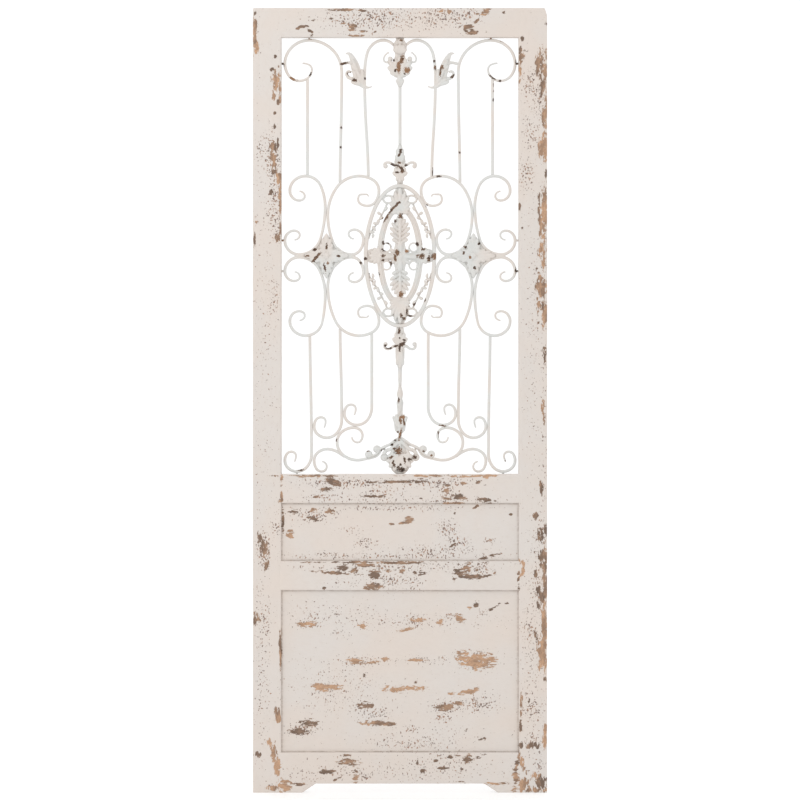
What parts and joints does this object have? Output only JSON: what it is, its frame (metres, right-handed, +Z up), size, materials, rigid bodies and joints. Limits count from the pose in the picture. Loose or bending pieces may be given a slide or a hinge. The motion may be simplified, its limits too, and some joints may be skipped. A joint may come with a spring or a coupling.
{
  "type": "decorative wooden door",
  "caption": "Distressed white wooden door panel: flat boards below, an open bay of scrolled wrought ironwork with a cast oval medallion above, plain feet at the floor.",
  "frame": {"origin": "middle of the width, on the back plane, at floor level; it lies on the plane of the wall_face mount", "axes": "+X across the door to the viewer's right, +Y from the front through the thickness into the wall, +Z up along the height; the front faces -Y"},
  "size_m": [0.75, 0.03, 2],
  "materials": {
    "painted_wood": "distressed warm white paint, chipped to brown wood",
    "painted_iron": "off-white paint with dark brown rust spots"
  },
  "bodies": {
    "root": {"baluster": "painted_iron", "base_ornament": "painted_iron", "bottom_rail": "painted_wood", "centre_rod": "painted_iron", "crown_ornament": "painted_iron", "foot_scrolls": "painted_iron", "grille_studs": "painted_iron", "inner_canes": "painted_iron", "inner_crooks": "painted_iron", "inner_scrolls": "painted_iron", "leaves": "painted_iron", "lock_rail": "painted_wood", "lower_panel": "painted_wood", "medallion_leaf": "painted_iron", "medallion_ring": "painted_iron", "medallion_wreath": "painted_iron", "middle_canes": "painted_iron", "middle_rail": "painted_wood", "outer_canes": "painted_iron", "outer_crooks": "painted_iron", "outer_scrolls": "painted_iron", "pickets": "painted_iron", "rosettes": "painted_iron", "stiles": "painted_wood", "swan_scrolls": "painted_iron", "top_rail": "painted_wood", "upper_finial": "painted_iron", "upper_panel": "painted_wood"}
  },
  "joints": []
}
